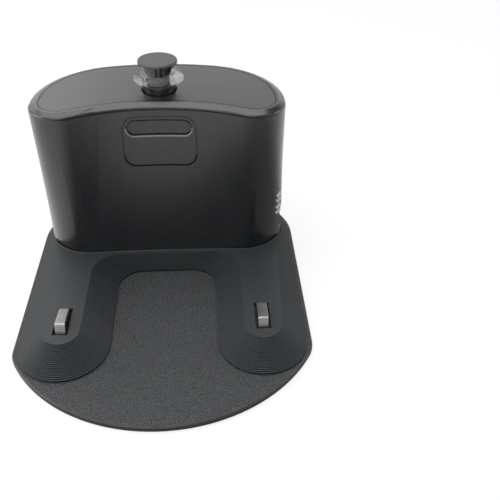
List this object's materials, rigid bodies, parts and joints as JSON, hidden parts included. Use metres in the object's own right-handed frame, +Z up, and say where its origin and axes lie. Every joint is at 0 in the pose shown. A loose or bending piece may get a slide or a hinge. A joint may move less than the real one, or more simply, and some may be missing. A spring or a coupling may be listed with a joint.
{
  "type": "robot vacuum charging dock",
  "caption": "Charging dock for a robot vacuum: a ridged U-shaped ramp with sprung contacts on a flat plate, and a hollow tower with a dark window and a beacon knob on top.",
  "frame": {"origin": "middle of the footprint, on the surface that the rubber feet stand on", "axes": "+Z up; -Y is the front, where the robot drives on; +X is the right side seen from the front"},
  "size_m": [0.1238, 0.1512, 0.0958],
  "materials": {
    "shell": "satin, fine moulded grain",
    "ramp": "satin with fine ridges",
    "plate": "leather-grained",
    "window": "satin, infrared-clear",
    "collar": "matte",
    "cap": "satin",
    "lens": "clear moulded",
    "contact": "nickel plated",
    "carrier": "matte",
    "spring": "drawn wire",
    "inlet": "matte",
    "pins": "plated",
    "boards": "coated",
    "ferrite": "sintered core with tape",
    "cans": "sleeved",
    "copper": "enamelled wire",
    "sink": "extruded",
    "ballast": "cut sheet",
    "emitters": "tinted epoxy",
    "screws": "zinc plated",
    "feet": "matte"
  },
  "bodies": {
    "dock": {"tower_shell": "shell", "top_plate": "shell", "base_cover": "ramp", "base_plate": "plate", "front_window": "window", "beacon_collar": "collar", "beacon_cap": "cap", "beacon_lens": "lens", "contact_spring_left": "spring", "contact_spring_right": "spring", "mains_inlet": "inlet", "inlet_pins": "pins", "power_board": "boards", "window_board": "boards", "beacon_board": "boards", "transformer": "ferrite", "capacitors": "cans", "line_choke": "copper", "heat_sink": "sink", "ballast_plate": "ballast", "window_leds": "emitters", "beacon_led": "emitters", "tower_screws": "screws", "cover_screws": "screws", "board_screws": "screws", "beacon_screws": "screws", "window_screws": "screws", "rubber_feet": "feet"},
    "left_contact": {"contact_left": "contact", "contact_carrier_left": "carrier"},
    "right_contact": {"contact_right": "contact", "contact_carrier_right": "carrier"}
  },
  "joints": [
    {"name": "left_contact_press", "type": "slide", "parent": "dock", "child": "left_contact", "axis": [0, 0, -1], "range_m": [0, 0.0025], "stiffness_N_per_m": 400, "deforming": ["contact_spring_left"]},
    {"name": "right_contact_press", "type": "slide", "parent": "dock", "child": "right_contact", "axis": [0, 0, -1], "range_m": [0, 0.0025], "stiffness_N_per_m": 400, "deforming": ["contact_spring_right"]}
  ]
}
